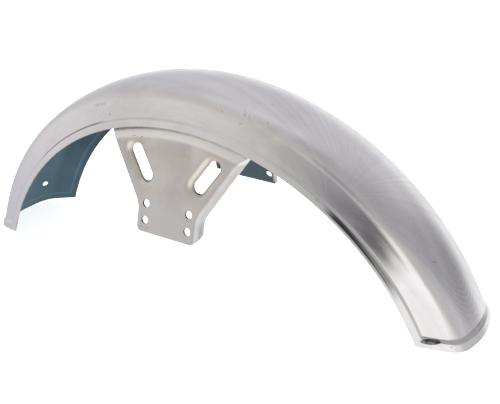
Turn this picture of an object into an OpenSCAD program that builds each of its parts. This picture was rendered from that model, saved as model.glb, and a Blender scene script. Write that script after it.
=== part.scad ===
// Motorcycle front mudguard: a pressed blade with two fork brackets welded inside its walls.
// X runs towards the front of the wheel, Y across it and Z up. The origin is the middle of the
// whole mudguard, and all arcs are struck from the wheel's axle, which lies below it.

/* [Blade] */
// Radius of the outer face at the middle of the crown, from the axle
crown_r = 330; // [300:1:380]
// Radial depth of the blade, from the crown to the edge of its side walls
blade_depth = 42.4; // [38:0.2:50]
// Width across the outer faces of the side walls, at their lower edge
blade_w = 105; // [96:1:125]
// Lean of the side walls inwards, away from the edge
wall_lean = 18; // [10:0.5:22]
// Outer radius of the shoulders, between wall and crown
shoulder_r = 20; // [14:0.5:24]
// Outer radius of the crown, across the blade
crown_arc_r = 113.5; // [90:0.5:160]
// Thickness of the blade's sheet
blade_t = 1; // [0.8:0.1:1.6]

/* [Edge band] */
// Height of the raised band that runs all round the blade
band_lift = 2; // [1:0.1:2.5]
// Width of the band along the side walls
side_band_w = 8; // [6:0.5:11]
// Width of the band along the two ends
end_band_w = 9; // [6:0.5:14]

/* [Ends] */
// Angle from the top to the rear corner of the side walls
rear_angle = 69; // [55:0.5:75]
// Fall of the rear end below level, towards the crown
rear_fall = 9.8; // [0:0.2:16]
// Angle from the top to the front corner of the side walls
front_angle = 64.4; // [50:0.2:72]
// Fall of the front end below level, towards the crown
front_fall = 2.1; // [0:0.1:12]

/* [Stay holes] */
// Diameter of the two holes near the rear end
stay_hole_d = 7; // [5:0.5:9]
// Distance of each stay hole from the blade's middle
stay_hole_y = 32; // [20:0.5:38]
// Distance of the stay holes from the rear end
stay_hole_in = 28; // [18:0.5:60]

/* [Bolt pattern] */
// Distance between the bolt columns, along the wheel
bolt_pitch_x = 54; // [46:0.5:58]
// Distance between the bolt rows, up the bracket
bolt_pitch_v = 17.8; // [14:0.2:20]
// Diameter of each bolt hole
bolt_d = 8.5; // [6.5:0.5:9.5]
// Place of the pattern along the wheel, from the axle
pattern_x = -4.2; // [-12:0.2:12]
// Distance from the edge of the side walls in to the pattern's middle, at the top of the wheel
pattern_drop = 85.9; // [81.6:0.1:92.6]
// Distance of the bracket's outer face beyond the lower edge of the side wall, at the pattern's middle
pattern_out = 26.1; // [25.5:0.1:29.5]

/* [Fork brackets] */
// Thickness of the brackets' sheet
bracket_t = 2.5; // [2:0.1:3]
// Splay of each bracket outwards, going down
splay = 16; // [15:0.5:18]
// Width of the lower tab, across its folded edges
tab_w = 79.6; // [76:0.2:90]
// Distance of the tab's lower edge below the pattern's middle
tab_drop = 21.5; // [18:0.5:26]
// Width of the tab's straight lower edge, between its corner cuts
tab_edge_w = 66; // [56:1:70]
// Angle of the corner cuts above level
corner_cut = 36; // [20:1:50]
// Height above the pattern's middle where the sides would turn outwards with no fillet
flare_v = 5.5; // [2:0.5:10]
// Angle of the flared sides from upright
flare_angle = 32; // [26:0.5:34]
// Outer radius of the fillets between the tab and the flared sides
flare_r = 25; // [12:1:36]
// Outer radius of the folds along the sides
fold_r = 7; // [5:0.5:7.5]
// Depth of the folded edges behind the outer face
fold_depth = 11.5; // [9:0.5:14]
// Gap from the edge of the side wall to where the bracket steps out, below the blade
step_gap = 1.1; // [0.1:0.1:3.6]
// Angle of that step, from the wheel's plane
step_angle = 42; // [34:1:55]
// Distance from the bracket's upper edge, where it lies against the blade's wall, up to the shoulder
lap_gap = 3.68433; // [1.68433:0.5:12.68433]

/* [Slots] */
// Width of each slot
slot_w = 13.5; // [10:0.5:15]
// Distance between the centres of a slot's round ends
slot_run = 27.3; // [18:0.5:32]
// Distance of each slot's middle from the bracket's middle
slot_u = 40.7; // [38:0.1:41]
// Height of each slot's middle above the pattern's middle
slot_v = 49.7; // [46:0.1:52]
// Lean of the slots from upright
slot_lean = 34; // [28:0.5:36]
// Outer radius of the pressed-in lip round each slot
lip_r = 8.5; // [6:0.1:8.8]
// Angle through which that lip turns inwards
lip_turn = 76; // [45:1:80]

/* [Hidden] */
$fn = 96;

// Room beyond a surface in a cut
clear = 5;
// Far enough to reach past the whole mudguard
far = 2 * crown_r;

// Blade section: places are given as height above the edge of the walls, and distance from the middle
edge_r = crown_r - blade_depth;
half_w = blade_w / 2;
lean_c = cos(wall_lean);
lean_s = sin(wall_lean);
lean_t = tan(wall_lean);
crown_h = blade_depth - crown_arc_r;
wall_reach = half_w * lean_c - shoulder_r;
quad_a = 1 + pow(lean_t, 2);
quad_b = -2 * wall_reach * lean_s / pow(lean_c, 2) - 2 * crown_h;
quad_c = pow(wall_reach / lean_c, 2) + pow(crown_h, 2) - pow(crown_arc_r - shoulder_r, 2);
shoulder_h = (-quad_b + sqrt(pow(quad_b, 2) - 4 * quad_a * quad_c)) / (2 * quad_a);
shoulder_y = (wall_reach - shoulder_h * lean_s) / lean_c;
shoulder_turn = atan2(shoulder_h - crown_h, shoulder_y);
shoulder_start_h = shoulder_h + shoulder_r * lean_s;
shoulder_steps = 8;
crown_steps = 5;

// Half width of the wall's face at a height, moved out from the outer face by off
function wall_y(h, off) = half_w - h * lean_t + off / lean_c;

// Angle round the axle at which an end's cut crosses a radius, d away from the end
function end_angle(corner, fall, r, d) = fall + acos((edge_r * cos(corner - fall) + d) / r);

// Brackets: all their places follow the edge of the side walls
pattern_z = edge_r - pattern_drop;
pattern_y = half_w + pattern_out;
step_r = edge_r - step_gap;
lap_r = edge_r + shoulder_start_h - lap_gap;

// Extremes of the blade, which set the origin
band_r = crown_r + band_lift;
rear_tip = end_angle(rear_angle, rear_fall, band_r, 0);
front_tip = end_angle(front_angle, front_fall, band_r, 0);
origin_x = band_r * (sin(front_tip) - sin(rear_tip)) / 2;
origin_z = (crown_r + band_r * min(cos(front_tip), cos(rear_tip))) / 2;

// Stay holes: the section's outward angle and radius where they pass
hole_on_crown = stay_hole_y <= crown_arc_r * cos(shoulder_turn);
hole_turn = hole_on_crown ? acos(stay_hole_y / crown_arc_r) : acos((stay_hole_y - shoulder_y) / shoulder_r);
hole_r = edge_r + (hole_on_crown ? crown_h + crown_arc_r * sin(hole_turn)
                                 : shoulder_h + shoulder_r * sin(hole_turn));
hole_angle = end_angle(rear_angle, rear_fall, hole_r, stay_hole_in);

// Fork bracket: the centre of the fillet beside the tab, in the bracket's own plane
half_tab = tab_w / 2;
fillet_u = half_tab + flare_r;
fillet_v = flare_v - flare_r * tan(flare_angle / 2);
flare_len = 110;
flare_start = [fillet_u, fillet_v] - (flare_r + fold_r) * side_out(flare_angle);
fillet_steps = 8;
fold_steps = 8;

// Slot lips: how far they reach from the slot's middle line
lip_reach = slot_w / 2 + lip_r * sin(lip_turn);
// How far the pressing has drawn each face of a lip inside the plate's own
lip_inset = 0.05;
// Angle by which a lip's root runs on into the plate
lip_root = 4;

module about_origin() {
    translate([-origin_x, 0, -origin_z]) children();
}

// Turns a section of radius and width round the axle, over the upper half of the wheel
module round_axle() {
    rotate([90, 0, 0]) rotate_extrude(angle = 180) children();
}

// Points along an arc of the section, as height and distance from the middle
function section_arc(centre, r, from, to, steps) = [
    for (k = [0:steps])
        let (turn = from + (to - from) * k / steps)
        centre + r * [sin(turn), cos(turn)]
];

// One half of the section's line moved out by off: wall, shoulder and crown up to the middle
function half_section(off) = concat(
    [[-clear - off, wall_y(-clear - off, off)]],
    section_arc([shoulder_h, shoulder_y], shoulder_r + off, wall_lean, shoulder_turn, shoulder_steps),
    [for (k = [1:crown_steps])
        section_arc([crown_h, 0], crown_arc_r + off, shoulder_turn, 90, crown_steps)[k]]
);

function reverse(list) = [for (i = [len(list) - 1:-1:0]) list[i]];

// Filled section of the blade, moved out by off
module section_fill(off) {
    half = half_section(off);
    other_half = [for (i = [len(half) - 2:-1:0]) [half[i][0], -half[i][1]]];
    translate([edge_r, 0]) polygon(concat(half, other_half));
}

// Space between the bands: kept end_gap away from both ends and edge_gap above the walls' edge
module between_bands(end_gap, edge_gap) {
    difference() {
        across() side_view(end_gap);
        rotate([90, 0, 0]) cylinder(r = edge_r + edge_gap, h = 3 * blade_w, center = true);
    }
}

// Filled body of the blade inside a face moved out by off, with the band standing out all round
module blade_fill(off) {
    round_axle() section_fill(off);
    difference() {
        round_axle() section_fill(band_lift + off);
        between_bands(end_band_w + off, side_band_w + off);
    }
}

function end_point(sign, corner, fall, d, along) = [
    sign * (edge_r * sin(corner) + along * cos(fall) + d * sin(fall)),
    edge_r * cos(corner) - along * sin(fall) + d * cos(fall)
];

// Side view of what lies between the two ends, kept d away from both
module side_view(d) {
    polygon([
        end_point(-1, rear_angle, rear_fall, d, -blade_depth),
        end_point(-1, rear_angle, rear_fall, d, 3 * blade_depth),
        [-far, far],
        [far, far],
        end_point(1, front_angle, front_fall, d, 3 * blade_depth),
        end_point(1, front_angle, front_fall, d, -blade_depth)
    ]);
}

module across() {
    rotate([90, 0, 0]) linear_extrude(2 * blade_w, center = true) children();
}

module stay_hole(side) {
    rotate([0, -hole_angle, 0])
        translate([0, side * stay_hole_y, hole_r])
            rotate([-side * (90 - hole_turn), 0, 0])
                cylinder(d = stay_hole_d, h = 2 * clear, center = true);
}

module mudguard_blade() {
    color([0.82, 0.82, 0.85]) about_origin() difference() {
        intersection() {
            union() blade_fill(0);
            across() side_view(0);
        }
        blade_fill(-blade_t);
        rotate([90, 0, 0]) cylinder(r = edge_r, h = 3 * blade_w, center = true);
        for (side = [-1, 1]) stay_hole(side);
    }
}

// Outward direction of a side, in the bracket's plane, once it has turned by an angle
function side_out(turn) = [cos(turn), -sin(turn)];

// Stations along a side: the end of the flat face there, and the side's outward direction
function side_stations() = concat(
    [[[half_tab - fold_r, -tab_drop - 2 * clear], side_out(0)]],
    [for (k = [0:fillet_steps])
        let (turn = flare_angle * k / fillet_steps)
        [[fillet_u, fillet_v] - (flare_r + fold_r) * side_out(turn), side_out(turn)]],
    [[flare_start + flare_len * [sin(flare_angle), cos(flare_angle)], side_out(flare_angle)]]
);

// Section of a folded edge from the end of the flat face outwards, inside a face moved in by off
function fold_face(off) = concat(
    [for (k = [0:fold_steps])
        let (turn = 90 * k / fold_steps)
        [(fold_r - off) * sin(turn), (fold_r - off) * cos(turn) - fold_r]],
    [[fold_r - off, -fold_depth]]
);

// Ring of points round the sheet at a station: right side out and back, then left side out and back
function half_ring(station, side, face) = [
    for (p = face)
        let (at = station[0] + p[0] * station[1])
        [side * at[0], at[1], p[1]]
];
function ring(station) = concat(
    half_ring(station, 1, fold_face(0)),
    reverse(half_ring(station, 1, fold_face(bracket_t))),
    half_ring(station, -1, fold_face(bracket_t)),
    reverse(half_ring(station, -1, fold_face(0)))
);

// Sheet of the flat face and its folded edges, swept along both sides at once
module folded_sheet() {
    stations = side_stations();
    m = fold_steps + 2;
    n = 4 * m;
    last = n * (len(stations) - 1);
    walls = [
        for (i = [0:len(stations) - 2]) for (j = [0:n - 1])
            let (a = i * n + j, b = i * n + (j + 1) % n)
            each [[a, a + n, b + n], [a, b + n, b]]
    ];
    ends = [
        for (half = [0, 2 * m]) for (j = [0:m - 2])
            let (a = half + j, b = half + j + 1, c = half + 2 * m - 2 - j, d = half + 2 * m - 1 - j)
            each [[a, b, c], [a, c, d], [last + a, last + c, last + b], [last + a, last + d, last + c]]
    ];
    middle = [
        for (q = [[0, 2 * m - 1, 2 * m, n - 1]])
            each [[q[0], q[1], q[2]], [q[0], q[2], q[3]],
                  [last + q[0], last + q[2], last + q[1]], [last + q[0], last + q[3], last + q[2]]]
    ];
    polyhedron(points = [for (s = stations) each ring(s)], faces = concat(walls, ends, middle));
}

// Space behind the face up to one flared side, ending in the middle of the folded sheet
module flare_limit() {
    inset = bracket_t / 2;
    translate([flare_start[0], flare_start[1], 0]) rotate([0, 0, -flare_angle])
        translate([0, flare_len, 0]) rotate([90, 0, 0]) linear_extrude(2 * flare_len) {
            translate([-3 * flare_len, -fold_depth]) square([3 * flare_len, fold_depth - inset]);
            intersection() {
                translate([0, -fold_r]) circle(fold_r - inset);
                translate([0, -fold_r]) square(fold_r);
            }
            translate([0, -fold_depth]) square([fold_r - inset, fold_depth - fold_r]);
        }
}

// Line of the blade's inner wall and of the step below it, both moved in by off
function lap_bend_r(off) = step_r + off * (1 / lean_c - 1 / cos(step_angle)) / (tan(step_angle) - lean_t);
function lap_bend_y(off) = wall_y(lap_bend_r(off) - edge_r, -blade_t - off);
function lap_line(off, top) = [
    [lap_bend_r(off) - pattern_y, lap_bend_y(off) + pattern_y * tan(step_angle)],
    [lap_bend_r(off), lap_bend_y(off)],
    [top, wall_y(top - edge_r, -blade_t - off)]
];

// Everything on the wheel's side of that line
module lap_side(off, top) {
    outer_y = lap_line(off, top)[0][1];
    polygon(concat([[edge_r / 4, 0], [edge_r / 4, outer_y]], lap_line(off, top), [[top, 0]]));
}

// Sheet along that line: it laps the blade's wall and steps out below its edge
module lap_sheet() {
    polygon(concat(lap_line(0, lap_r), reverse(lap_line(bracket_t, lap_r))));
}

module slot_place(side) {
    translate([side * slot_u, slot_v, 0]) rotate([0, 0, -side * slot_lean]) children();
}

// Long hole in the bracket's plane
module slot_shape(r) {
    for (end = [-1, 1]) translate([0, end * slot_run / 2]) circle(r);
    square([2 * r, slot_run], center = true);
}

// Section of a lip: an arc of sheet that turns inwards towards the slot, with its root in the plate
module lip_section() {
    translate([lip_reach, -lip_r]) intersection() {
        difference() {
            circle(lip_r - lip_inset);
            circle(lip_r - bracket_t + lip_inset);
        }
        polygon([
            [0, 0],
            [2 * lip_r * sin(lip_root), 2 * lip_r * cos(lip_root)],
            [-2 * lip_r, 2 * lip_r],
            [-2 * lip_r * sin(lip_turn), 2 * lip_r * cos(lip_turn)]
        ]);
    }
}

module slot_lip() {
    for (turn = [0, 180]) rotate([0, 0, turn]) {
        rotate([90, 0, 0]) linear_extrude(slot_run, center = true) lip_section();
        translate([0, slot_run / 2, 0]) rotate_extrude(angle = 180) lip_section();
    }
}

// Stands a bracket's face in its place, on the side of the wheel where Y is below nought
module stand() {
    translate([pattern_x, -pattern_y, pattern_z]) rotate([90 - splay, 0, 0]) children();
}

module foot_outline() {
    rise = far * tan(corner_cut);
    polygon([
        [-tab_edge_w / 2, -tab_drop],
        [tab_edge_w / 2, -tab_drop],
        [tab_edge_w / 2 + far, rise - tab_drop],
        [-tab_edge_w / 2 - far, rise - tab_drop]
    ]);
}

module bracket_cuts() {
    for (side = [-1, 1]) {
        slot_place(side) translate([0, 0, -bracket_t - clear / 5])
            linear_extrude(bracket_t + clear) slot_shape(lip_reach);
        for (row = [-1, 1])
            translate([side * bolt_pitch_x / 2, row * bolt_pitch_v / 2, -bracket_t - clear])
                cylinder(d = bolt_d, h = bracket_t + 2 * clear);
    }
}

module fork_bracket() {
    difference() {
        union() {
            intersection() {
                stand() folded_sheet();
                stand() translate([0, 0, -fold_depth - clear])
                    linear_extrude(fold_depth + 2 * clear) foot_outline();
                round_axle() lap_side(0, lap_r);
            }
            intersection() {
                round_axle() lap_sheet();
                stand() flare_limit();
                stand() mirror([1, 0, 0]) flare_limit();
            }
        }
        stand() bracket_cuts();
    }
    stand() for (side = [-1, 1]) slot_place(side) slot_lip();
}

module right_fork_bracket() {
    color([0.68, 0.66, 0.64]) about_origin() fork_bracket();
}

module left_fork_bracket() {
    color([0.68, 0.66, 0.64]) about_origin() mirror([0, 1, 0]) fork_bracket();
}

mudguard_blade();
right_fork_bracket();
left_fork_bracket();
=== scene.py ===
import math

import bpy
import numpy as np
from mathutils import Matrix, Vector
from mathutils.geometry import delaunay_2d_cdt


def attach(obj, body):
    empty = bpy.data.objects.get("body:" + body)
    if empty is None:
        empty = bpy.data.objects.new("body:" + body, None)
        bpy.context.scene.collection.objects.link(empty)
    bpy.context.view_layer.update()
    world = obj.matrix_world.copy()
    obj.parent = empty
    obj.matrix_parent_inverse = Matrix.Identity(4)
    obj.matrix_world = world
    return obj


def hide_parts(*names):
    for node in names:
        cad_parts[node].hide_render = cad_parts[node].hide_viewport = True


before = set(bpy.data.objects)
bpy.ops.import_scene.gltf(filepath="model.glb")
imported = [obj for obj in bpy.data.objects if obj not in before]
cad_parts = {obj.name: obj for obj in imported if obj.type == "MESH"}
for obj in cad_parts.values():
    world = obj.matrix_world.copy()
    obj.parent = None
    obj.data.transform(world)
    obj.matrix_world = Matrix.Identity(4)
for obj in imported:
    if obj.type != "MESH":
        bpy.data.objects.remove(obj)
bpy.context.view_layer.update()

# Sizes in millimetres, as in the part's source. Radii and heights are from the wheel's axle.
CROWN_R = 330.0
BLADE_DEPTH = 42.4
EDGE_R = CROWN_R - BLADE_DEPTH
HALF_W = 52.5
LEAN = math.radians(18.0)
SHOULDER_R = 20.0
CROWN_ARC_R = 113.5
BLADE_T = 1.0
BAND_LIFT = 2.0
SIDE_BAND_W = 8.0
END_BAND_W = 9.0
REAR = (math.radians(69.0), math.radians(9.8))
FRONT = (math.radians(64.4), math.radians(2.1))
STAY_HOLE_R = 3.5
STAY_HOLE_Y = 32.0
STAY_HOLE_IN = 28.0
BOLT_PITCH = 54.0, 17.8
BOLT_R = 4.25
PATTERN = -4.2, -78.6, 201.7
SPLAY = math.radians(16.0)
BRACKET_T = 2.5
HALF_TAB = 39.8
TAB_DROP = 21.5
TAB_EDGE = 33.0
CORNER_CUT = math.radians(36.0)
FLARE_V = 5.5
FLARE = math.radians(32.0)
FLARE_R = 25.0
FOLD_R = 7.0
FOLD_DEPTH = 11.5
STEP_R = 286.5
STEP_ANGLE = math.radians(42.0)
LAP_R = 309.0
SLOT_W = 13.5
SLOT_RUN = 27.3
SLOT_PLACE = 40.7, 49.7
SLOT_LEAN = math.radians(34.0)
LIP_R = 8.5
LIP_TURN = math.radians(76.0)
LAP_INSET = 0.05
# Height above the axle from which the blank's top edge is measured
BLANK_DATUM = 200.9

# For the visual model alone: bulge of the side walls, widths of the band's rounded steps, length of the
# zone of fine rows at each end, and the share of the sheet by which the step inside lies back
WALL_CROWN = 0.45
SIDE_STEP = 3.6
END_STEP = 4.4
END_ZONE = 24.0
STEP_BACK = 0.7
# Rounding where the bracket's face runs into its step
STEP_ROUND = 1.8

# Height of the floor, in metres
FLOOR_Z = -0.1179


def shoulder_place():
    """Centre of the shoulder's arc (height, distance), its turn, and the height of the crown's centre."""
    c, s, t = math.cos(LEAN), math.sin(LEAN), math.tan(LEAN)
    crown_h = BLADE_DEPTH - CROWN_ARC_R
    reach = HALF_W * c - SHOULDER_R
    a = 1 + t * t
    b = -2 * reach * s / c ** 2 - 2 * crown_h
    k = (reach / c) ** 2 + crown_h ** 2 - (CROWN_ARC_R - SHOULDER_R) ** 2
    h = (-b + math.sqrt(b * b - 4 * a * k)) / (2 * a)
    y = (reach - h * s) / c
    return h, y, math.atan2(h - crown_h, y), crown_h


SHOULDER_H, SHOULDER_Y, SHOULDER_TURN, CROWN_H = shoulder_place()


def end_angle(end, r, d):
    corner, fall = end
    return fall + math.acos((EDGE_R * math.cos(corner - fall) + d) / r)


BAND_R = CROWN_R + BAND_LIFT
TIPS = end_angle(REAR, BAND_R, 0), end_angle(FRONT, BAND_R, 0)
ORIGIN_X = BAND_R * (math.sin(TIPS[1]) - math.sin(TIPS[0])) / 2
ORIGIN_Z = (CROWN_R + BAND_R * min(math.cos(TIPS[0]), math.cos(TIPS[1]))) / 2


# Meshes

def new_object(name, points, faces, smooth=True):
    mesh = bpy.data.meshes.new(name)
    mesh.from_pydata([tuple(p) for p in points], [], faces)
    mesh.update()
    if smooth:
        mesh.polygons.foreach_set("use_smooth", [True] * len(mesh.polygons))
    obj = bpy.data.objects.new(name, mesh)
    bpy.context.scene.collection.objects.link(obj)
    return obj


def spaced(stops):
    """Rising values: each stop is (value, count of steps up to it)."""
    out = [stops[0][0]]
    for (a, _), (b, n) in zip(stops, stops[1:]):
        out += [a + (b - a) * (k + 1) / n for k in range(n)]
    return out


def section_half():
    """The section's neutral line from the wall's edge to the middle: height, distance, outward direction."""
    rows = []
    wall_end = SHOULDER_H + SHOULDER_R * math.sin(LEAN)
    for h in spaced([(0.0, 1), (0.3, 1), (5.0, 4), (11.0, 18), (wall_end, 12)])[:-1]:
        share = h / wall_end
        rows.append((h, HALF_W - h * math.tan(LEAN) + WALL_CROWN * 4 * share * (1 - share), LEAN))
    count = 14
    for k in range(count + 1):
        turn = LEAN + (SHOULDER_TURN - LEAN) * k / count
        h = SHOULDER_H + SHOULDER_R * math.sin(turn)
        rows.append((h, SHOULDER_Y + SHOULDER_R * math.cos(turn), turn))
    count = 10
    for k in range(1, count + 1):
        turn = SHOULDER_TURN + (math.pi / 2 - SHOULDER_TURN) * k / count
        rows.append((CROWN_H + CROWN_ARC_R * math.sin(turn), CROWN_ARC_R * math.cos(turn), turn))
    return rows


def step(x, at, width):
    t = min(1.0, max(0.0, (x - at) / width + 0.5))
    return t * t * (3 - 2 * t)


def band(h, d_rear, d_front, shift):
    """One on the raised band, nought between the bands. The step is rounded."""
    side = step(h, SIDE_BAND_W - shift, SIDE_STEP)
    rear = step(d_rear, END_BAND_W - shift, END_STEP)
    front = step(d_front, END_BAND_W - shift, END_STEP)
    return 1 - side * rear * front


def blade_rows():
    """Rows along the blade: distance from the rear or the front end, or a share of the way between."""
    near = spaced([(0.0, 1), (0.3, 1), (5.6, 4), (12.4, 20), (END_ZONE, 5)])
    rows = [("rear", d) for d in near]
    count = 170
    rows += [("between", k / count) for k in range(1, count)]
    rows += [("front", d) for d in reversed(near)]
    return rows


def blade_point(row, place, face):
    """A point of the blade's sheet, in metres in the part's frame. face is 0 outside and 1 inside."""
    h, y, turn = place
    side = 1.0 if y >= 0 else -1.0
    r = EDGE_R + h
    kind, value = row
    rear = -end_angle(REAR, r, value if kind == "rear" else END_ZONE)
    front = end_angle(FRONT, r, value if kind == "front" else END_ZONE)
    phi = rear if kind == "rear" else front if kind == "front" else rear + (front - rear) * value
    d_rear = r * math.cos(phi + REAR[1]) - EDGE_R * math.cos(REAR[0] - REAR[1])
    d_front = r * math.cos(phi - FRONT[1]) - EDGE_R * math.cos(FRONT[0] - FRONT[1])
    # Each half of the blade minds only its own end
    if phi > 0:
        d_rear = math.inf
    else:
        d_front = math.inf
    lift = BAND_LIFT * band(h, d_rear, d_front, face * BLADE_T * STEP_BACK)
    off = lift - face * BLADE_T
    r2 = r + off * math.sin(turn)
    y2 = y + side * off * math.cos(turn)
    # The cut of the end keeps its plane where the sheet stands out
    if kind == "rear":
        phi = -end_angle(REAR, r2, value)
    if kind == "front":
        phi = end_angle(FRONT, r2, value)
    return ((r2 * math.sin(phi) - ORIGIN_X) / 1000, y2 / 1000, (r2 * math.cos(phi) - ORIGIN_Z) / 1000)


def make_blade():
    half = section_half()
    places = [(h, -y, t) for h, y, t in half[:-1]] + [(h, y, t) for h, y, t in reversed(half)]
    rows = blade_rows()
    m, n = len(places), len(rows)
    points = []
    for face in (0, 1):
        for row in rows:
            points += [blade_point(row, place, face) for place in places]
    inner = m * n
    # Faces with their material slots: 0 outside, 1 inside, 2 along the sheet's edge
    faces = []
    for i in range(n - 1):
        for j in range(m - 1):
            a = i * m + j
            b = inner + a
            faces += [((a, a + 1, a + m + 1, a + m), 0), ((b, b + m, b + m + 1, b + 1), 1)]
    for i in range(n - 1):
        a, b = i * m, i * m + m - 1
        faces += [((a, a + m, inner + a + m, inner + a), 2), ((b, inner + b, inner + b + m, b + m), 2)]
    for j in range(m - 1):
        a, b = j, (n - 1) * m + j
        faces += [((a, inner + a, inner + a + 1, a + 1), 2), ((b, b + 1, inner + b + 1, inner + b), 2)]
    obj = new_object("blade_shell", points, [face for face, _ in faces])
    for _ in range(3):
        obj.data.materials.append(None)
    obj.data.polygons.foreach_set("material_index", [slot for _, slot in faces])
    return obj


def apply_modifiers(obj):
    depsgraph = bpy.context.evaluated_depsgraph_get()
    mesh = bpy.data.meshes.new_from_object(obj.evaluated_get(depsgraph))
    old = obj.data
    obj.modifiers.clear()
    obj.data = mesh
    bpy.data.meshes.remove(old)


def round_edges(obj, width):
    edges = obj.modifiers.new("edges", "BEVEL")
    edges.width = width
    edges.segments = 2
    edges.limit_method = "ANGLE"
    edges.angle_limit = math.radians(60)
    apply_modifiers(obj)
    obj.data.polygons.foreach_set("use_smooth", [True] * len(obj.data.polygons))


def cylinder(name, centre, axis, radius, length, sides=48):
    """A closed cylinder in metres, for cutting holes."""
    axis = Vector(axis).normalized()
    across = axis.orthogonal().normalized()
    third = axis.cross(across)
    points, faces = [], []
    for end in (-0.5, 0.5):
        for k in range(sides):
            a = 2 * math.pi * k / sides
            p = Vector(centre) + axis * length * end + (across * math.cos(a) + third * math.sin(a)) * radius
            points.append(p)
    for k in range(sides):
        q = (k + 1) % sides
        faces.append((k, q, sides + q, sides + k))
    faces.append(tuple(range(sides - 1, -1, -1)))
    faces.append(tuple(range(sides, 2 * sides)))
    return new_object(name, points, faces, smooth=False)


def cut(obj, cutter):
    mod = obj.modifiers.new("cut", "BOOLEAN")
    mod.operation = "DIFFERENCE"
    mod.object = cutter
    mod.solver = "EXACT"
    apply_modifiers(obj)
    bpy.data.objects.remove(cutter)


def stay_hole(side):
    turn = math.acos((STAY_HOLE_Y - SHOULDER_Y) / SHOULDER_R)
    r = EDGE_R + SHOULDER_H + SHOULDER_R * math.sin(turn)
    phi = -end_angle(REAR, r, STAY_HOLE_IN)
    centre = (r * math.sin(phi) - ORIGIN_X, side * STAY_HOLE_Y, r * math.cos(phi) - ORIGIN_Z)
    axis = (math.sin(turn) * math.sin(phi), side * math.cos(turn), math.sin(turn) * math.cos(phi))
    return cylinder("stay_hole_cutter", [c / 1000 for c in centre], axis, STAY_HOLE_R / 1000, 0.012)


blade = make_blade()
for side in (-1, 1):
    cut(blade, stay_hole(side))
round_edges(blade, width=0.00025)

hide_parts("mudguard_blade")
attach(blade, "root")


# Fork brackets: a flat blank, laid out in the bracket's own plane, is bent into shape point by point

FILLET_U = HALF_TAB + FLARE_R
FILLET_V = FLARE_V - FLARE_R * math.tan(FLARE / 2)
FLAT_END = HALF_TAB - FOLD_R
BEND_R = FLARE_R + FOLD_R
FOLD_ARC = FOLD_R * math.pi / 2
FOLD_OUT = FOLD_ARC + FOLD_DEPTH - FOLD_R
LIP_REACH = SLOT_W / 2 + LIP_R * math.sin(LIP_TURN)
LIP_HOLE = LIP_REACH - LIP_R * LIP_TURN


def beyond_flat(u, v):
    """Distance beyond the flat face, and the side's outward direction there, where u isn't negative."""
    du, dv = u - FILLET_U, v - FILLET_V
    turn = np.clip(np.arctan2(dv, -du), 0, FLARE)
    on_tab = v <= FILLET_V
    start_u = FILLET_U - BEND_R * math.cos(FLARE)
    start_v = FILLET_V + BEND_R * math.sin(FLARE)
    flare = (u - start_u) * math.cos(FLARE) - (v - start_v) * math.sin(FLARE)
    along = (u - start_u) * math.sin(FLARE) + (v - start_v) * math.cos(FLARE)
    fillet = BEND_R - np.hypot(du, dv)
    past = np.where(on_tab, u - FLAT_END, np.where(along > 0, flare, fillet))
    turn = np.where(on_tab, 0.0, np.where(along > 0, FLARE, turn))
    return past, np.cos(turn), -np.sin(turn)


def soft_min(a, b, r):
    h = np.maximum(r - np.abs(a - b), 0) / r
    return np.minimum(a, b) - h * h * r / 4


def to_axle(u, v, w):
    x = PATTERN[0] + u
    y = PATTERN[1] + v * math.sin(SPLAY) - w * math.cos(SPLAY)
    z = PATTERN[2] + v * math.cos(SPLAY) + w * math.sin(SPLAY)
    return x, y, z


def lap_depth(u, v):
    """Place, out of the bracket's plane, of the surface that steps in and laps the blade's inner wall."""
    # The place is found by halving a range that surely holds it
    low, high = np.full_like(u, -60.0), np.full_like(u, 40.0)
    bend_y = HALF_W - (STEP_R - EDGE_R) * math.tan(LEAN) - (BLADE_T + LAP_INSET) / math.cos(LEAN)
    for _ in range(40):
        mid = (low + high) / 2
        x, y, z = to_axle(u, v, mid)
        r = np.hypot(x, z)
        slope = np.where(r < STEP_R, math.tan(STEP_ANGLE), math.tan(LEAN))
        outside = -y > bend_y + (STEP_R - r) * slope
        high = np.where(outside, mid, high)
        low = np.where(outside, low, mid)
    return (low + high) / 2


def bend_blank(u, v):
    """Places of the blank's points on the bracket's outer face, in millimetres from the axle."""
    side = np.where(u < 0, -1.0, 1.0)
    past, out_u, out_v = beyond_flat(np.abs(u), v)
    turn = np.clip(past / FOLD_R, 0, math.pi / 2)
    reach = np.where(past > 0, FOLD_R * np.sin(turn), past)
    depth = np.where(past > 0, -FOLD_R * (1 - np.cos(turn)) - np.maximum(past - FOLD_ARC, 0), 0.0)
    bent_u = side * (np.abs(u) + (reach - past) * out_u)
    bent_v = v + (reach - past) * out_v
    # Lips: the rim of each slot turns in towards it
    cu, cv = side * SLOT_PLACE[0], SLOT_PLACE[1]
    ax, ay = side * math.sin(SLOT_LEAN), math.cos(SLOT_LEAN)
    along = np.clip((u - cu) * ax + (v - cv) * ay, -SLOT_RUN / 2, SLOT_RUN / 2)
    pu, pv = cu + along * ax, cv + along * ay
    away = np.hypot(u - pu, v - pv)
    turn = np.clip((LIP_REACH - away) / LIP_R, 0, LIP_TURN)
    pull = np.where(turn > 0, (LIP_REACH - LIP_R * np.sin(turn)) / np.maximum(away, 1e-6), 1.0)
    bent_u = np.where(turn > 0, pu + (u - pu) * pull, bent_u)
    bent_v = np.where(turn > 0, pv + (v - pv) * pull, bent_v)
    depth = depth - np.where(turn > 0, LIP_R * (1 - np.cos(turn)), 0.0)
    depth = soft_min(depth, lap_depth(bent_u, bent_v), STEP_ROUND)
    return np.stack(to_axle(bent_u, bent_v, depth), axis=1)


def loop(points, spacing):
    """Points evenly spaced round a closed line."""
    points = [np.array(p, float) for p in points]
    out = []
    for a, b in zip(points, points[1:] + points[:1]):
        steps = max(1, int(round(float(np.linalg.norm(b - a)) / spacing)))
        out += [a + (b - a) * k / steps for k in range(steps)]
    return np.array(out)


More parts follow.
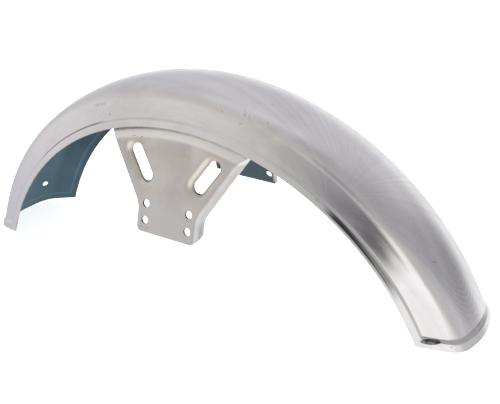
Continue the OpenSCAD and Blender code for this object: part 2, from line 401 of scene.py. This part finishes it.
def blank_top(u):
    """Height of the blank's top edge, which follows the lap's radius."""
    return (math.sqrt(LAP_R ** 2 - u ** 2) - BLANK_DATUM) / math.cos(SPLAY)


def blank_outline(spacing):
    """The blank's outline: level lower edge, corner cuts that run on through the folds, and a curved top."""
    right = [(TAB_EDGE, -TAB_DROP)]
    u_end = FLAT_END + FOLD_OUT
    right.append((u_end, -TAB_DROP + (u_end - TAB_EDGE) * math.tan(CORNER_CUT)))
    r = BEND_R - FOLD_OUT
    count = 12
    for k in range(count + 1):
        turn = FLARE * k / count
        right.append((FILLET_U - r * math.cos(turn), FILLET_V + r * math.sin(turn)))
    # The flared side runs on in short steps until it meets the top edge
    cu, cv = right[-1]
    stride = 0.5
    for k in range(400):
        u, v = cu + k * stride * math.sin(FLARE), cv + k * stride * math.cos(FLARE)
        if v > blank_top(u):
            break
        end = (u, v)
    right.append(end)
    count = 40
    shares = [1 - k / count for k in range(1, count)]
    top = [(end[0] * share, blank_top(end[0] * share)) for share in shares]
    mirrored = [(-u, v) for u, v in reversed(right + top)]
    return loop(right + top + [(0.0, blank_top(0.0))] + mirrored, spacing)


def inside(points, line):
    """Which points lie inside a closed line."""
    x, y = points[:, 0], points[:, 1]
    hit = np.zeros(len(points), bool)
    for (x0, y0), (x1, y1) in zip(line, np.roll(line, -1, axis=0)):
        if y0 == y1:
            continue
        crosses = (y0 > y) != (y1 > y)
        hit ^= crosses & (x < (x1 - x0) * (y - y0) / (y1 - y0) + x0)
    return hit


def near_line(points, line, distance):
    """Which points lie close to any point of a line."""
    close = np.zeros(len(points), bool)
    for chunk in np.array_split(np.arange(len(points)), 40):
        apart = points[chunk, None, :] - line[None, :, :]
        close[chunk] = (apart ** 2).sum(2).min(1) < distance ** 2
    return close


def bracket_blank(spacing):
    """Triangles that cover the blank, closely spaced and following its outline and holes."""
    outline = blank_outline(spacing)
    half_sides, bolt_sides = 24, 40
    holes = []
    for side in (-1, 1):
        slot = []
        ax, ay = side * math.sin(SLOT_LEAN), math.cos(SLOT_LEAN)
        for end in (1, -1):
            for k in range(half_sides + 1):
                a = math.pi * k / half_sides
                across, on = math.cos(a) * end, math.sin(a) * end
                u = side * SLOT_PLACE[0] + end * SLOT_RUN / 2 * ax + LIP_HOLE * (across * ay + on * ax)
                v = SLOT_PLACE[1] + end * SLOT_RUN / 2 * ay + LIP_HOLE * (on * ay - across * ax)
                slot.append((u, v))
        holes.append(loop(slot, spacing * 0.8))
        for row in (-1, 1):
            cu, cv = side * BOLT_PITCH[0] / 2, row * BOLT_PITCH[1] / 2
            turns = [2 * math.pi * k / bolt_sides for k in range(bolt_sides)]
            holes.append(np.array([(cu + BOLT_R * math.cos(a), cv + BOLT_R * math.sin(a)) for a in turns]))
    lines = [outline] + holes
    low, high = outline.min(0), outline.max(0)
    us, vs = np.arange(low[0], high[0], spacing), np.arange(low[1], high[1], spacing * 0.866)
    grid = np.array([(u + (0.5 * spacing if k % 2 else 0), v) for k, v in enumerate(vs) for u in us])
    grid = grid[inside(grid, outline)]
    for hole in holes:
        grid = grid[~inside(grid, hole)]
    grid = grid[~near_line(grid, np.vstack(lines), spacing * 0.55)]
    points, edges = [], []
    for line in lines:
        base = len(points)
        points += [tuple(p) for p in line]
        edges += [(base + k, base + (k + 1) % len(line)) for k in range(len(line))]
    points += [tuple(p) for p in grid]
    result = delaunay_2d_cdt([Vector(p) for p in points], edges, [], 0, 1e-6)
    verts = np.array([(p.x, p.y) for p in result[0]])
    tris = np.array([f for f in result[2]])
    middle = verts[tris].mean(axis=1)
    keep = inside(middle, outline)
    for hole in holes:
        keep &= ~inside(middle, hole)
    return verts, tris[keep]


def make_bracket(name, side, verts, tris):
    """side is -1 for the near bracket and 1 for the far one."""
    placed = bend_blank(verts[:, 0], verts[:, 1])
    placed[:, 1] *= -side
    placed -= np.array([ORIGIN_X, 0.0, ORIGIN_Z])
    placed /= 1000
    a, b, c = (placed[tris[:, k]] for k in range(3))
    facing = np.cross(b - a, c - a)[:, 1].sum()
    faces = tris if facing * side > 0 else tris[:, ::-1]
    obj = new_object(name, placed, [tuple(int(k) for k in f) for f in faces])
    for _ in range(3):
        obj.data.materials.append(None)
    thick = obj.modifiers.new("sheet", "SOLIDIFY")
    thick.thickness = BRACKET_T / 1000
    thick.offset = -1.0
    thick.use_even_offset = False
    thick.material_offset = 1
    thick.material_offset_rim = 2
    round_edges(obj, width=0.0004)
    return obj


blank = bracket_blank(1.1)
near_bracket = make_bracket("near_bracket_plate", -1, *blank)
far_bracket = make_bracket("far_bracket_plate", 1, *blank)
for obj, node in ((near_bracket, "right_fork_bracket"), (far_bracket, "left_fork_bracket")):
    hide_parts(node)
    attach(obj, "root")


# Materials

class Nodes:
    """Short names for building a node tree."""

    def __init__(self, tree):
        self.tree = tree
        tree.nodes.clear()

    def add(self, kind, **settings):
        node = self.tree.nodes.new(kind)
        for key, value in settings.items():
            setattr(node, key, value)
        return node

    def put(self, socket, value):
        if isinstance(value, bpy.types.NodeSocket):
            self.tree.links.new(value, socket)
        elif value is not None:
            socket.default_value = value

    def math(self, operation, a, b=None):
        node = self.add("ShaderNodeMath", operation=operation)
        self.put(node.inputs[0], a)
        self.put(node.inputs[1], b)
        return node.outputs[0]

    def times(self, *values):
        out = values[0]
        for value in values[1:]:
            out = self.math("MULTIPLY", out, value)
        return out

    def vector(self, operation, a, b=None):
        node = self.add("ShaderNodeVectorMath", operation=operation)
        self.put(node.inputs[0], a)
        self.put(node.inputs[1], b)
        return node.outputs["Value" if operation in ("DOT_PRODUCT", "LENGTH", "DISTANCE") else "Vector"]

    def noise(self, vector, scale, detail=3.0, rough=0.5, distortion=0.0):
        node = self.add("ShaderNodeTexNoise")
        self.put(node.inputs["Vector"], vector)
        node.inputs["Scale"].default_value = scale
        node.inputs["Detail"].default_value = detail
        node.inputs["Roughness"].default_value = rough
        node.inputs["Distortion"].default_value = distortion
        return node.outputs["Fac"]

    def span(self, value, low, high, out_low=0.0, out_high=1.0):
        node = self.add("ShaderNodeMapRange", interpolation_type="SMOOTHSTEP")
        for socket, v in zip(node.inputs, (value, low, high, out_low, out_high)):
            self.put(socket, v)
        return node.outputs[0]

    def mix(self, share, a, b):
        node = self.add("ShaderNodeMix", data_type="RGBA")
        self.put(node.inputs[0], share)
        self.put(node.inputs[6], a)
        self.put(node.inputs[7], b)
        return node.outputs[2]

    def bump(self, height, strength, distance, normal=None):
        node = self.add("ShaderNodeBump")
        node.inputs["Strength"].default_value = strength
        node.inputs["Distance"].default_value = distance
        self.put(node.inputs["Height"], height)
        self.put(node.inputs["Normal"], normal)
        return node.outputs[0]

    def scaled(self, vector, scale):
        node = self.add("ShaderNodeMapping")
        self.put(node.inputs["Vector"], vector)
        node.inputs["Scale"].default_value = scale
        return node.outputs[0]


def colour(r, g, b):
    """Linear colour from sRGB values of 0 to 255."""
    def linear(c):
        c /= 255
        return c / 12.92 if c <= 0.04045 else ((c + 0.055) / 1.055) ** 2.4
    return (linear(r), linear(g), linear(b), 1.0)


def material(name):
    mat = bpy.data.materials.new(name)
    mat.use_nodes = True
    n = Nodes(mat.node_tree)
    out = n.add("ShaderNodeOutputMaterial")
    shader = n.add("ShaderNodeBsdfPrincipled")
    mat.node_tree.links.new(shader.outputs[0], out.inputs["Surface"])
    place = n.add("ShaderNodeTexCoord").outputs["Object"]
    return mat, n, shader, place


def wheel_coordinates(n, place):
    """Radius from the axle, angle from the top and distance from the middle, in metres and radians."""
    parts = n.add("ShaderNodeSeparateXYZ")
    n.put(parts.inputs[0], place)
    x = n.math("ADD", parts.outputs[0], ORIGIN_X / 1000)
    z = n.math("ADD", parts.outputs[2], ORIGIN_Z / 1000)
    r = n.math("SQRT", n.math("ADD", n.math("MULTIPLY", x, x), n.math("MULTIPLY", z, z)))
    phi = n.math("ARCTAN2", x, z)
    return r, phi, parts.outputs[1]


# Directions along, up and out of the patches below, and how deep a patch reaches
PATCH_AXES = (
    (0.84489, 0.53424, -0.02722),
    (-0.21992, 0.39328, 0.89273),
    (0.48764, -0.74828, 0.44977),
)
PATCH_DEPTH = 12


def patch(n, place, at, size, edge=0.5):
    """A soft oval on the surface round a point: half length and half height, all in millimetres."""
    offset = n.vector("SUBTRACT", place, tuple(c / 1000 for c in at))
    apart = 0.0
    for axis, half in zip(PATCH_AXES, (size[0], size[1], PATCH_DEPTH)):
        along = n.math("MULTIPLY", n.vector("DOT_PRODUCT", offset, axis), 1000 / half)
        apart = n.math("ADD", apart, n.math("MULTIPLY", along, along))
    return n.span(n.math("SQRT", apart), edge, 1.0, 1.0, 0.0)


def window(n, value, start, full, fade, end):
    """One between full and fade, falling to nothing at start and end."""
    return n.math("MULTIPLY", n.span(value, start, full), n.span(value, fade, end, 1.0, 0.0))


# Scuffs and dull spots on the chrome: middle, half length and half height in millimetres, depth of tone
MARKS = [
    ((-107.4, -43.9, 80.9), (7.5, 3.0), 0.3),
    ((-100.0, -44.5, 84.0), (5.0, 2.4), 0.25),
    ((74.1, -38.1, 102.1), (1.6, 6.5), 0.3),
    ((79.0, -38.5, 98.0), (1.2, 5.0), 0.25),
    ((99.0, -37.2, 96.2), (1.2, 1.2), 0.6),
    ((264.7, -41.3, -28.2), (1.0, 3.0), 0.5),
    ((265.7, -22.0, -13.8), (4.0, 1.0), 0.45),
    ((130.3, -45.0, 60.0), (1.0, 4.0), 0.2),
]


def chrome_material():
    mat, n, shader, place = material("chrome_plate")
    shader.inputs["Metallic"].default_value = 1.0
    r, phi, y = wheel_coordinates(n, place)
    wrap = n.add("ShaderNodeCombineXYZ")
    n.put(wrap.inputs[0], n.math("MULTIPLY", phi, CROWN_R / 1000))
    n.put(wrap.inputs[1], y)
    n.put(wrap.inputs[2], r)
    along = wrap.outputs[0]
    # Polishing marks run along the blade, and the sheet is slightly wavy from the press
    polish = n.noise(n.scaled(along, (9, 240, 240)), 1.0, 4.0, 0.6)
    waves = n.noise(along, 9.0, 2.0, 0.5)
    smears = n.noise(n.scaled(along, (14, 30, 30)), 1.0, 5.0, 0.62, 0.6)
    pits = n.span(n.noise(along, 260.0, 2.0, 0.4), 0.73, 0.77)
    # Faint rings on the crown near the front end, a painted reflection, and a fan of soft streaks behind
    # them
    du = n.math("SUBTRACT", n.math("MULTIPLY", phi, CROWN_R / 1000), 0.3)
    dv = n.math("MULTIPLY", n.math("ADD", y, 0.004), 2.3)
    ring = n.math("SQRT", n.math("ADD", n.math("MULTIPLY", du, du), n.math("MULTIPLY", dv, dv)))
    ring = n.math("ADD", ring, n.math("MULTIPLY", smears, 0.009))
    arcs = n.math("SINE", n.math("MULTIPLY", ring, 980.0))
    faded = n.math("MULTIPLY", window(n, ring, 0.02, 0.04, 0.07, 0.095), n.span(phi, 0.86, 1.0))
    ray_u = n.math("SUBTRACT", n.math("MULTIPLY", phi, CROWN_R / 1000), 0.2)
    ray_v = n.math("ADD", y, 0.052)
    fan = n.noise(n.math("ARCTAN2", ray_v, ray_u), 11.0, 3.0, 0.6)
    rough = n.math("ADD", n.span(smears, 0.3, 0.75, 0.1, 0.17), n.math("MULTIPLY", polish, 0.05))
    base = n.mix(n.span(smears, 0.35, 0.7), colour(238, 237, 238), colour(228, 226, 226))
    # Painted reflection: a cooler, lilac tone towards the rear end
    base = n.mix(n.span(phi, -0.7, -1.0), base, colour(231, 232, 240))
    base = n.mix(n.math("MULTIPLY", pits, 0.4), base, colour(150, 140, 130))
    # Painted reflection: the faint dark rings
    base = n.mix(n.math("MULTIPLY", faded, n.span(arcs, -1.0, 1.0, 0.0, 0.11)), base, colour(120, 120, 125))
    base = n.mix(n.span(fan, 0.35, 0.65, 0.0, 0.12), base, colour(140, 140, 145))
    ragged = n.span(n.noise(along, 420.0, 3.0, 0.6), 0.35, 0.6)
    for middle, size, depth in MARKS:
        mark = n.math("MULTIPLY", patch(n, place, middle, size, 0.2), ragged)
        base = n.mix(n.math("MULTIPLY", mark, depth), base, colour(96, 88, 80))
        rough = n.math("ADD", rough, n.math("MULTIPLY", mark, 0.12))
    # Painted dark reflections: one in the side of the front end, and dark streaks between the rim and the
    # band's step
    dark = patch(n, place, (276.7, -48.0, -82.1), (10.4, 3.1), 0.8)
    speck = n.span(n.noise(along, 300.0, 3.0, 0.6), 0.4, 0.62)
    dark_tone = n.mix(speck, colour(40, 40, 46), colour(118, 118, 126))
    base = n.mix(n.math("MULTIPLY", dark, 0.95), base, dark_tone)
    height = n.math("SUBTRACT", r, EDGE_R / 1000)
    on_side = n.span(y, -0.040, -0.044)
    streak = n.noise(n.scaled(along, (10, 10, 700)), 1.0, 3.0, 0.6)
    up = window(n, height, 0.0022, 0.0038, 0.0066, 0.0084)
    forward = window(n, phi, 0.57, 0.64, 0.88, 0.98)
    band_dark_reflection = n.times(up, forward, on_side, n.span(streak, 0.4, 0.6, 1.0, 0.6), 0.95)
    # Painted dark reflection between the rim and the band's step
    base = n.mix(band_dark_reflection, base, colour(50, 50, 54))
    # A painted dark reflection: a wedge under the front shoulder, which narrows to a point
    low_edge = n.math("ADD", n.math("MULTIPLY", n.math("SUBTRACT", phi, 0.66), 0.046), 0.0125)
    wedge_reflection = n.times(
        n.span(n.math("SUBTRACT", height, low_edge), 0.0, 0.007),
        n.span(height, 0.0245, 0.0268, 1.0, 0.0),
        window(n, phi, 0.56, 0.80, 0.86, 0.93),
        n.span(y, -0.036, -0.040),
        0.5,
    )
    base = n.mix(wedge_reflection, base, colour(70, 70, 74))
    # A painted dark line of shade under the step towards the rear
    up = window(n, height, 0.0078, 0.0086, 0.0090, 0.0100)
    line = n.times(up, window(n, phi, -0.80, -0.72, -0.40, -0.33), on_side, 0.7)
    base = n.mix(line, base, colour(50, 50, 54))
    # The plating is cleaner and more like a mirror towards the front
    rough = n.math("MULTIPLY", rough, n.span(phi, 0.35, 0.65, 1.0, 0.5))
    n.put(shader.inputs["Roughness"], rough)
    n.put(shader.inputs["Base Color"], base)
    normal = n.bump(waves, 0.25, 0.004)
    normal = n.bump(polish, 0.05, 0.0006, normal)
    n.put(shader.inputs["Normal"], normal)
    return mat


def paint_material():
    mat, n, shader, place = material("inside_paint")
    mottle = n.noise(place, 35.0, 4.0, 0.55)
    grain = n.noise(place, 900.0, 2.0, 0.5)
    # It darkens up towards the brackets, where little light comes in
    _, phi, _ = wheel_coordinates(n, place)
    base = n.mix(n.span(mottle, 0.3, 0.7), colour(58, 90, 105), colour(68, 98, 113))
    n.put(shader.inputs["Base Color"], n.mix(n.span(phi, -1.02, -0.84, 0.0, 0.62), base, colour(40, 56, 68)))
    n.put(shader.inputs["Roughness"], n.span(mottle, 0.3, 0.7, 0.42, 0.52))
    n.put(shader.inputs["Normal"], n.bump(grain, 0.12, 0.0003))
    return mat


def edge_material():
    mat, n, shader, place = material("sheet_edge")
    shader.inputs["Metallic"].default_value = 1.0
    worn = n.noise(place, 160.0, 4.0, 0.6)
    base = n.mix(n.span(worn, 0.35, 0.7), colour(190, 188, 190), colour(120, 116, 112))
    n.put(shader.inputs["Base Color"], base)
    n.put(shader.inputs["Roughness"], n.span(worn, 0.3, 0.7, 0.25, 0.45))
    return mat


# Small dark marks on the bracket, given as the marks on the chrome are
BRACKET_DARK_MARKS = [
    ((-50.1, -57.8, 62.1), (4.0, 0.9), 0.5),
    ((-39.7, -57.5, 62.9), (3.5, 1.0), 0.5),
    ((-30.2, -83.0, -25.8), (1.2, 2.2), 0.4),
    ((-22.2, -83.2, -26.5), (2.2, 1.4), 0.35),
    ((27.9, -77.8, -7.7), (3.4, 1.0), 0.3),
    ((2.9, -75.4, 0.7), (2.2, 0.7), 0.2),
]


def bracket_material():
    mat, n, shader, place = material("bracket_steel")
    shader.inputs["Metallic"].default_value = 1.0
    cloud = n.noise(place, 28.0, 5.0, 0.6, 0.5)
    brushed = n.noise(n.scaled(place, (40, 400, 400)), 1.0, 4.0, 0.6)
    stain = n.noise(place, 60.0, 3.0, 0.6)
    base = n.mix(n.span(cloud, 0.3, 0.7), colour(226, 223, 221), colour(212, 208, 205))
    base = n.mix(n.math("MULTIPLY", n.span(stain, 0.55, 0.75), 0.3), base, colour(205, 186, 160))
    # The step under the blade is painted brighter: a painted highlight where the bend faces up to the light
    r, phi, _ = wheel_coordinates(n, place)
    step_highlight = n.span(r, 0.2765, 0.2800)
    base = n.mix(n.math("MULTIPLY", step_highlight, 0.9), base, colour(252, 251, 248))
    # A warm tint round the pressed slots and a painted highlight on their rims, stronger on their rear and
    # lower sides
    u = n.math("SUBTRACT", n.math("MULTIPLY", r, n.math("SINE", phi)), PATTERN[0] / 1000)
    v = n.math("SUBTRACT", n.math("MULTIPLY", r, n.math("COSINE", phi)), PATTERN[2] / 1000)
    v = n.math("DIVIDE", v, math.cos(SPLAY))
    du = n.math("SUBTRACT", n.math("ABSOLUTE", u), SLOT_PLACE[0] / 1000)
    dv = n.math("SUBTRACT", v, SLOT_PLACE[1] / 1000)
    lean_s, lean_c = math.sin(SLOT_LEAN), math.cos(SLOT_LEAN)
    lengthways = n.math("ADD", n.math("MULTIPLY", du, lean_s), n.math("MULTIPLY", dv, lean_c))
    across = n.math("SUBTRACT", n.math("MULTIPLY", du, lean_c), n.math("MULTIPLY", dv, lean_s))
    past = n.math("MAXIMUM", n.math("SUBTRACT", n.math("ABSOLUTE", lengthways), SLOT_RUN / 2000), 0.0)
    apart = n.math("SQRT", n.math("ADD", n.math("MULTIPLY", past, past), n.math("MULTIPLY", across, across)))
    side = n.math("MULTIPLY", n.math("SIGN", u), across)
    tint_and_highlight = n.math("MULTIPLY", n.span(apart, 0.008, 0.0145, 1.0, 0.0), n.span(side, 0.007, -0.006, 0.1, 0.55))
    # Painted highlight, mixed with the warm tint round the slots
    base = n.mix(tint_and_highlight, base, colour(255, 246, 226))
    # The tab below is cooler and cleaner, with small dark marks
    base = n.mix(n.span(v, 0.03, -0.005, 0.0, 0.75), base, colour(222, 224, 227))
    dark_mark_noise = n.span(n.noise(place, 330.0, 3.0, 0.6), 0.35, 0.6)
    for middle, size, depth in BRACKET_DARK_MARKS:
        mark = n.math("MULTIPLY", patch(n, place, middle, size, 0.2), dark_mark_noise)
        base = n.mix(n.math("MULTIPLY", mark, depth), base, colour(98, 92, 86))
    n.put(shader.inputs["Base Color"], base)
    rough = n.math("ADD", n.span(cloud, 0.3, 0.7, 0.3, 0.4), n.math("MULTIPLY", brushed, 0.06))
    n.put(shader.inputs["Roughness"], rough)
    n.put(shader.inputs["Normal"], n.bump(brushed, 0.06, 0.0004, n.bump(cloud, 0.12, 0.002)))
    return mat


chrome = chrome_material()
paint = paint_material()
edge = edge_material()
steel = bracket_material()
for obj, outside in ((blade, chrome), (near_bracket, steel), (far_bracket, steel)):
    for slot, mat in enumerate((outside, paint, edge)):
        obj.data.materials[slot] = mat


# Floor

def make_floor():
    s = 8.0
    corners = [(x, y, FLOOR_Z) for x, y in ((-s, -s), (s, -s), (s, s), (-s, s))]
    obj = new_object("floor", corners, [(0, 1, 2, 3)])
    mat, n, shader, place = material("floor_white")
    tone = n.noise(place, 3.0, 2.0, 0.5)
    n.put(shader.inputs["Base Color"], n.mix(tone, colour(250, 250, 250), colour(252, 252, 252)))
    shader.inputs["Roughness"].default_value = 0.9
    shader.inputs["Emission Color"].default_value = (1, 1, 1, 1)
    shader.inputs["Emission Strength"].default_value = 0.8
    obj.data.materials.append(mat)
    obj.visible_glossy = False


def make_backdrop():
    """A pale round wall that only the camera sees, so that the chrome and the light keep the room."""
    radius, low, high, count = 7.9, FLOOR_Z - 0.01, 12.0, 96
    turns = [2 * math.pi * i / count for i in range(count)]
    verts = [(radius * math.cos(a), radius * math.sin(a), z) for z in (low, high) for a in turns]
    verts.append((0, 0, high + 3))
    faces = [(i, (i + 1) % count, count + (i + 1) % count, count + i) for i in range(count)]
    faces += [(count + i, count + (i + 1) % count, 2 * count) for i in range(count)]
    obj = new_object("backdrop", verts, faces)
    mat, n, shader, place = material("backdrop_white")
    tone = n.noise(place, 0.6, 2.0, 0.5)
    n.put(shader.inputs["Base Color"], n.mix(tone, colour(244, 244, 245), colour(247, 247, 248)))
    shader.inputs["Roughness"].default_value = 1.0
    shader.inputs["Emission Color"].default_value = (1, 1, 1, 1)
    shader.inputs["Emission Strength"].default_value = 0.8
    obj.data.materials.append(mat)
    obj.visible_glossy = False
    obj.visible_diffuse = False
    obj.visible_shadow = False


make_floor()
make_backdrop()


# Studio

def toward(azimuth, elevation):
    """Direction from angles in degrees: azimuth from +X towards +Y, elevation from level."""
    a, e = math.radians(azimuth), math.radians(elevation)
    return (math.cos(e) * math.cos(a), math.cos(e) * math.sin(a), math.sin(e))


# Broad soft shapes that the chrome reflects: azimuth, elevation, inner and outer radius in degrees, tone
ROOM = [
    (95, -30, 34, 60, (250, 250, 250)),
    (-40, -40, 34, 52, (248, 248, 248)),
    (0, 90, 10, 42, (224, 223, 226)),
    (-35, 54, 10, 52, (180, 178, 180)),
    (15, 42, 8, 46, (177, 176, 180)),
    (50, 6, 2, 28, (160, 159, 163)),
    (36, 20, 2, 22, (168, 167, 170)),
    (40, -24, 6, 26, (204, 203, 207)),
    (-130, 12, 4, 24, (225, 221, 219)),
    (-160, 4, 6, 34, (226, 223, 225)),
    (-60, -8, 13, 28, (264, 263, 263)),
    (-78, -20, 6, 16, (264, 263, 263)),
    (-74, 32, 2, 20, (162, 161, 163)),
    (-90, 8, 4, 20, (166, 165, 167)),
    (-89, 1, 2, 11, (144, 143, 146)),
    (-86, -3.5, 1.5, 6, (112, 111, 114)),
]


def make_world():
    world = bpy.data.worlds.new("studio")
    bpy.context.scene.world = world
    world.use_nodes = True
    n = Nodes(world.node_tree)
    out = n.add("ShaderNodeOutputWorld")
    background = n.add("ShaderNodeBackground")
    world.node_tree.links.new(background.outputs[0], out.inputs["Surface"])
    way = n.vector("NORMALIZE", n.add("ShaderNodeTexCoord").outputs["Generated"])
    parts = n.add("ShaderNodeSeparateXYZ")
    n.put(parts.inputs[0], way)
    back = n.span(parts.outputs[1], -0.5, 0.5)
    tone = n.mix(back, colour(211, 207, 203), colour(209, 208, 213))
    for azimuth, elevation, inner, outer, shade in ROOM:
        apart = n.vector("DISTANCE", way, toward(azimuth, elevation))
        low, high = (2 * math.sin(math.radians(x) / 2) for x in (inner, outer))
        tone = n.mix(n.span(apart, low, high, 1.0, 0.0), tone, colour(*shade))
    n.put(background.inputs["Color"], tone)
    background.inputs["Strength"].default_value = 1.0


def make_lights():
    data = bpy.data.lights.new("overhead", "SUN")
    data.energy = 2.2
    data.angle = math.radians(70)
    obj = bpy.data.objects.new("overhead", data)
    obj.rotation_euler = (math.radians(14), math.radians(-12), 0)
    obj.visible_glossy = False
    bpy.context.scene.collection.objects.link(obj)


def make_camera():
    data = bpy.data.cameras.new("camera")
    data.lens = 58.79
    data.sensor_width = 36.0
    data.dof.use_dof = False
    data.clip_start = 0.05
    obj = bpy.data.objects.new("camera", data)
    right = Vector((0.84489185, 0.53424409, -0.02722154))
    above = Vector((-0.21991796, 0.39328159, 0.89272934))
    back = right.cross(above)
    turn = Matrix((right, above, back)).transposed().to_4x4()
    obj.matrix_world = Matrix.Translation((0.47450, -0.64850, 0.37503)) @ turn
    bpy.context.scene.collection.objects.link(obj)
    bpy.context.scene.camera = obj


make_world()
make_lights()
make_camera()
bpy.context.scene.view_settings.view_transform = "Standard"
bpy.context.scene.view_settings.look = "None"

bpy.context.view_layer.update()
